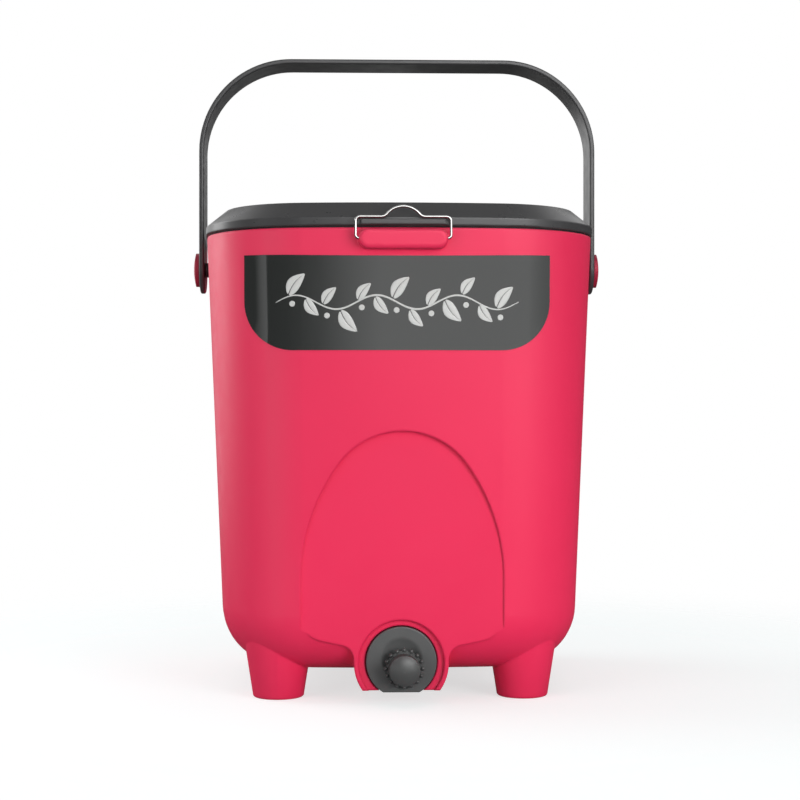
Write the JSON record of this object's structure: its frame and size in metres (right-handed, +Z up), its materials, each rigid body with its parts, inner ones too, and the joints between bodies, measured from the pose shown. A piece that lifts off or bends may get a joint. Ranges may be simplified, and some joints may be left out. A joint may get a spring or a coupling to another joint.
{
  "type": "bokashi bin",
  "caption": "Tapered rounded-square fermenting bin on short feet, with an airtight wire-latched lid, a raised strainer, a bail handle and a drain tap at the foot of its arched front panel.",
  "frame": {"origin": "on the floor under the feet, at the middle of the footprint", "axes": "+Z up; -Y is the front with label and tap; X runs along the handle's pivot line"},
  "size_m": [0.291, 0.2856, 0.441],
  "materials": {
    "red_moulding": "satin injection-moulded polypropylene, raspberry red",
    "pin_moulding": "satin injection-moulded plastic, raspberry red",
    "charcoal_moulding": "finely textured moulded polypropylene, charcoal",
    "handle_moulding": "satin moulded strap, charcoal",
    "label_film": "glossy printed film, dark grey",
    "tap_moulding": "satin moulded plastic, near black",
    "knob_moulding": "semi-gloss moulded plastic, near black",
    "plug_moulding": "turned acetal, off white",
    "strainer_moulding": "moulded polypropylene, charcoal",
    "latch_steel": "bright drawn stainless spring wire",
    "clip_steel": "plain spring steel",
    "seal_rubber": "soft moulded rubber, black"
  },
  "bodies": {
    "bin": {"bucket": "red_moulding", "front_label": "label_film", "left_pivot_pin": "pin_moulding", "left_pivot_bush": "tap_moulding", "left_pivot_clip": "clip_steel", "right_pivot_pin": "pin_moulding", "right_pivot_bush": "tap_moulding", "right_pivot_clip": "clip_steel", "tap_body": "tap_moulding", "tap_gasket": "seal_rubber", "tap_washer": "seal_rubber", "tap_nut": "tap_moulding"},
    "lid": {"lid_shell": "charcoal_moulding", "lid_seal": "seal_rubber"},
    "front_latch": {"front_latch_wire": "latch_steel"},
    "rear_latch": {"rear_latch_wire": "latch_steel"},
    "handle": {"handle_strap": "handle_moulding"},
    "valve": {"valve_plug": "plug_moulding", "plug_o_ring_front": "seal_rubber", "plug_o_ring_rear": "seal_rubber", "plug_circlip": "clip_steel", "tap_knob": "knob_moulding"},
    "sieve": {"strainer": "strainer_moulding"}
  },
  "joints": [
    {"name": "handle_swing", "type": "hinge", "parent": "bin", "child": "handle", "pos_m": [0, 0, 0.292], "axis": [1, 0, 0], "range_deg": [-105, 105]},
    {"name": "lid_lift", "type": "slide", "parent": "bin", "child": "lid", "axis": [0, 0, 1], "range_m": [0, 0.036]},
    {"name": "front_latch_swing", "type": "hinge", "parent": "bin", "child": "front_latch", "pos_m": [0, -0.1386, 0.3021], "axis": [1, 0, 0], "range_deg": [0, 172]},
    {"name": "rear_latch_swing", "type": "hinge", "parent": "bin", "child": "rear_latch", "pos_m": [0, 0.1386, 0.3021], "axis": [-1, 0, 0], "range_deg": [0, 172]},
    {"name": "knob_turn", "type": "hinge", "parent": "bin", "child": "valve", "pos_m": [0.0011, -0.112, 0.024], "axis": [0, 1, 0], "range_deg": [0, 90]},
    {"name": "strainer_lift", "type": "slide", "parent": "bin", "child": "sieve", "axis": [0, 0, 1], "range_m": [0, 0.2]}
  ],
  "couplings": [
    {"joint": "front_latch_swing", "follows": "lid_lift", "rad_per_m": 83.35},
    {"joint": "rear_latch_swing", "follows": "lid_lift", "rad_per_m": 83.35}
  ]
}
